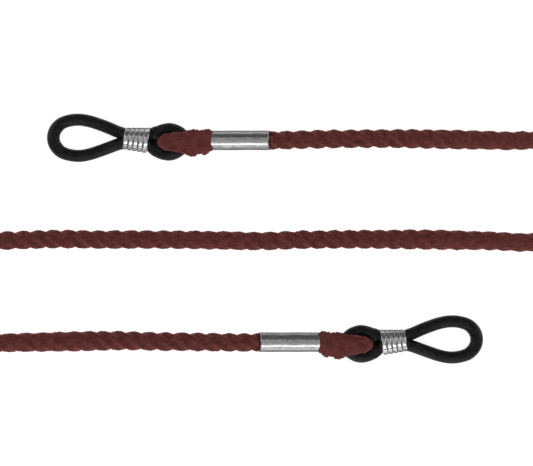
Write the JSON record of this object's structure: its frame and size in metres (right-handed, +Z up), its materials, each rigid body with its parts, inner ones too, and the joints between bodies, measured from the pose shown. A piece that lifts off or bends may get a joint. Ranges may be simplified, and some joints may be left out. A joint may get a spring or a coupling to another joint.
{
  "type": "eyeglasses cord strap",
  "caption": "Twisted cord strap for eyeglasses, with a crimped metal ferrule, a rubber temple loop and a sliding wire coil at each end.",
  "frame": {"origin": "on the table, midway between the two end assemblies, which lie mirrored on either side of it", "axes": "+X from the left temple loop towards the right one, along the cord's runs; +Y across the runs, from the right end's row to the left end's row; +Z up from the table"},
  "size_m": [0.1764, 0.0577, 0.0065],
  "materials": {
    "cord": "satin twisted polyester, maroon brown",
    "rubber": "black, satin",
    "coil_wire": "bright nickel plating",
    "ferrule_metal": "bright nickel plating, lightly brushed along its length"
  },
  "bodies": {
    "strap": {"left_cord_bight": "cord", "left_ferrule": "ferrule_metal", "right_cord_bight": "cord", "right_ferrule": "ferrule_metal", "cord_upper_run": "cord", "cord_coil": "cord", "cord_lower_run": "cord"},
    "left_loop": {"left_rubber_loop": "rubber"},
    "left_slider": {"left_slider_coil": "coil_wire"},
    "right_loop": {"right_rubber_loop": "rubber"},
    "right_slider": {"right_slider_coil": "coil_wire"}
  },
  "joints": [
    {"name": "left_loop_swing", "type": "hinge", "parent": "strap", "child": "left_loop", "pos_m": [-0.0156, 0.01862, 0.0032], "axis": [0, 1, 0], "range_deg": [-90, 90]},
    {"name": "left_slider_slide", "type": "slide", "parent": "left_loop", "child": "left_slider", "axis": [-0.9984, 0.0558, 0], "range_m": [0, 0.006], "deforming": ["left_rubber_loop"]},
    {"name": "right_loop_swing", "type": "hinge", "parent": "strap", "child": "right_loop", "pos_m": [0.0156, -0.02018, 0.0032], "axis": [0, -1, 0], "range_deg": [-90, 90]},
    {"name": "right_slider_slide", "type": "slide", "parent": "right_loop", "child": "right_slider", "axis": [0.9984, 0.0558, 0], "range_m": [0, 0.006], "deforming": ["right_rubber_loop"]}
  ]
}
